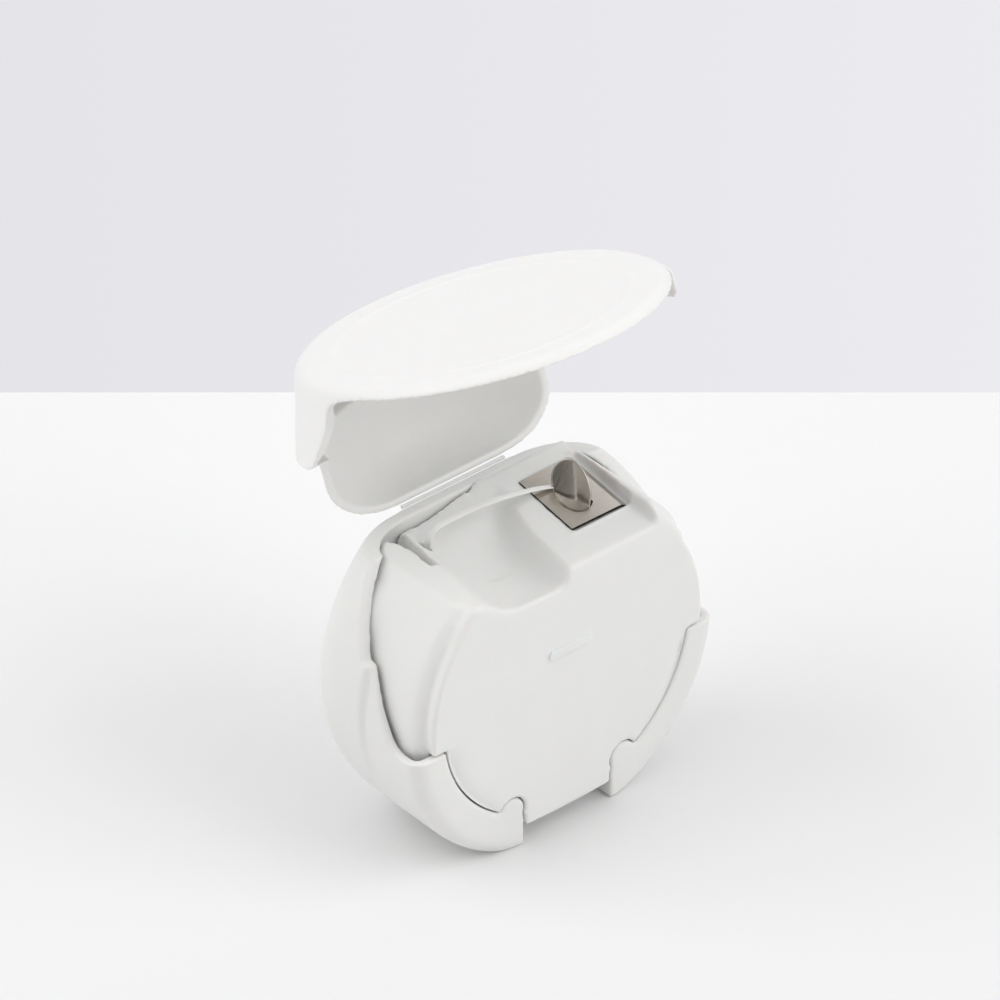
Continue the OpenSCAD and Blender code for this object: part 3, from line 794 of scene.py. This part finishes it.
# ---------------------------------------------------------------------------
# Floss strand. The free end of the floss, a flat loosely twisted band of waxed
# fibres, drawn from the outlet over the scoop and caught under the tooth.
# ---------------------------------------------------------------------------
ROUTE = [Vector(p) * MM for p in (
    (-13.1, 3.5, 24.5), (-12.6, 4, 28), (-11.3, 4.8, 31.5), (-9.9, 5.4, 34.6), (-9.6, 5.5, 37),
    (-9.3, 5.45, 39.6), (-8.7, 5.4, 40.7), (-7.4, 5.2, 41.4), (-5.1, 4.8, 41.8),
    (-2.5, 4.4, 42.1), (0.5, 3.9, 42.2), (3.6, 3.4, 42), (6.1, 3, 41.7), (7.8, 2.7, 41.4),
    (8.85, 2.45, 41.2))]
ROUTE_STEPS = 10
STRAND_WIDE = 1.0 * MM
STRAND_THICK = 0.32 * MM
STRAND_TWIST = 30
STRAND_SLANT = Vector((-0.5, -0.6, 0.6))
STRAND_SIDES = 16
UV_LENGTH = 1.2 * MM


def smooth_route(points, steps):
    """A smooth curve through the points, steps to each stretch."""
    out = []
    last = len(points) - 1
    for i in range(last):
        a, b, c, d = points[max(i - 1, 0)], points[i], points[i + 1], points[min(i + 2, last)]
        for k in range(steps):
            t = k / steps
            out.append(0.5 * (2 * b + (c - a) * t + (2 * a - 5 * b + 4 * c - d) * t * t
                + (3 * b - a - 3 * c + d) * t ** 3))
    out.append(points[-1])
    return out


def next_ring(bm, ring):
    """Extrudes a ring of vertices, and gives the new ones in the same order."""
    edges = [e for e in bm.edges if e.verts[0] in ring and e.verts[1] in ring]
    grown = bmesh.ops.extrude_edge_only(bm, edges=edges)["geom"]
    order = {}
    for v in verts_in(grown):
        for e in v.link_edges:
            other = e.other_vert(v)
            if other in ring:
                order[ring.index(other)] = v
    return [order[k] for k in range(len(ring))]


def band(name, points, width, thick, twist, slant):
    """A flat band swept along a route by extruding a ring of points, turning as it goes."""
    bm = bmesh.new()
    ring = bmesh.ops.create_circle(bm, segments=STRAND_SIDES, radius=1)["verts"]
    uv = bm.loops.layers.uv.new("along")
    far = {}
    length = 0
    for i, p in enumerate(points):
        if i:
            ring = next_ring(bm, ring)
            length += (p - points[i - 1]).length
        way = (points[min(i + 1, len(points) - 1)] - points[max(i - 1, 0)]).normalized()
        side = way.cross(slant).normalized()
        up = side.cross(way)
        cos_turn = math.cos(twist * length)
        sin_turn = math.sin(twist * length)
        for k, v in enumerate(ring):
            a = 2 * math.pi * k / STRAND_SIDES
            x = width / 2 * math.cos(a)
            y = thick / 2 * math.sin(a)
            v.co = p + side * (x * cos_turn - y * sin_turn) + up * (x * sin_turn + y * cos_turn)
            far[v] = (k / STRAND_SIDES, length / UV_LENGTH)
    bmesh.ops.holes_fill(bm, edges=[e for e in bm.edges if e.is_boundary], sides=0)
    bmesh.ops.recalc_face_normals(bm, faces=bm.faces)
    for face in bm.faces:
        for loop in face.loops:
            loop[uv].uv = far[loop.vert]
    return object_from(bm, name)


strand = band("floss_free_end", smooth_route(ROUTE, ROUTE_STEPS), STRAND_WIDE, STRAND_THICK,
    STRAND_TWIST, STRAND_SLANT)
finish_piece(strand, [fibre], "body", "floss_strand")

# ---------------------------------------------------------------------------
# Hinge web. The thin bendable strip that joins shell and lid, moulded with
# them in one shot and creased when the lid was first closed.
# ---------------------------------------------------------------------------
web_finish = white_plastic("web_white", (0.8, 0.8, 0.785), (0.77, 0.77, 0.755), 0.5, 1500, 0.2)
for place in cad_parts["hinge_web"].material_slots:
    place.material = web_finish

# ---------------------------------------------------------------------------
# Lid. The round hood that closes over the cutter and the face, of the same
# white polypropylene, with a thin raised ring moulded on its front.
# ---------------------------------------------------------------------------
HINGE = Vector((0, 0.01155, 0.0411))
OPENED = 112
LID_Z = 25.5
WALL_GROWS = 0.75
# the tab, with the lid shut: its depths and heights, and the wall's radius where it leaves it
TAB_GRID = 14
TAB_Y = -11.5
TAB_DEEP = 6.1
TAB_LOW = 19.3
TAB_HIGH = 29.5
TAB_X_FRONT = 24.5
TAB_X_BACK = 25.95


def smooth_step(low, high, x):
    return eased(clip((x - low) / (high - low)))


# from the shut lid to the open one
swing = (Matrix.Translation(HINGE) @ Matrix.Rotation(-math.radians(OPENED), 4, "X")
    @ Matrix.Translation(-HINGE))
shut = swing.inverted()
bm = welded_copy("lid")
# the tab that runs down beyond the plate on the right, as a bent slab grown from a grid
tab = bmesh.ops.create_grid(bm, x_segments=TAB_GRID, y_segments=TAB_GRID, size=1)["verts"]
tab_faces = list({f for v in tab for f in v.link_faces})
for v in tab:
    y = TAB_Y + (v.co.x + 1) / 2 * TAB_DEEP
    low = TAB_LOW + 3.6 * (1 - smooth_step(-10.8, -9, y)) + 0.8 * smooth_step(-6.3, -5.4, y)
    z = low + (v.co.y + 1) / 2 * (TAB_HIGH - low)
    flare = smooth_step(-11.6, -9.4, y)
    outside = TAB_X_FRONT * (1 - flare) + TAB_X_BACK * flare
    if z > LID_Z:
        r = 24.5 + 2.4 * (y + 12.35) / 11.65
        outside = min(outside, math.sqrt(r * r - (z - LID_Z) ** 2))
    v.co = swing @ (Vector((outside, y, z)) * MM)
grown = bmesh.ops.extrude_face_region(bm, geom=tab_faces, use_keep_orig=True)["geom"]
for v in verts_in(grown):
    z = (shut @ v.co).z / MM
    v.co.x -= (0.58 + 0.3 * smooth_step(22, 26, z)) * MM
bmesh.ops.recalc_face_normals(bm, faces=bm.faces)
lid = softened(bm, "lid_moulding", 0.22, 12, 0.45)


def thickened(co, normal):
    """Moves the inside of the side walls inwards, towards their open edge."""
    p = shut @ co / MM
    side = 1 if p.x > 0 else -1
    grow = smooth_step(-10.5, -7.5, p.y) * smooth_step(0.15, 0.6, -side * normal.x)
    grow *= 1 - smooth_step(-3.8, -2.2, p.y)
    if side > 0:
        grow *= smooth_step(23, 28, p.z)
    return co - Vector((side * WALL_GROWS * MM * grow, 0, 0))


reshape(lid, thickened)
lid_finish = white_plastic("lid_white", (0.84, 0.84, 0.825), (0.82, 0.82, 0.805), 0.4)
finish_piece(lid, [lid_finish], "lid", "lid")
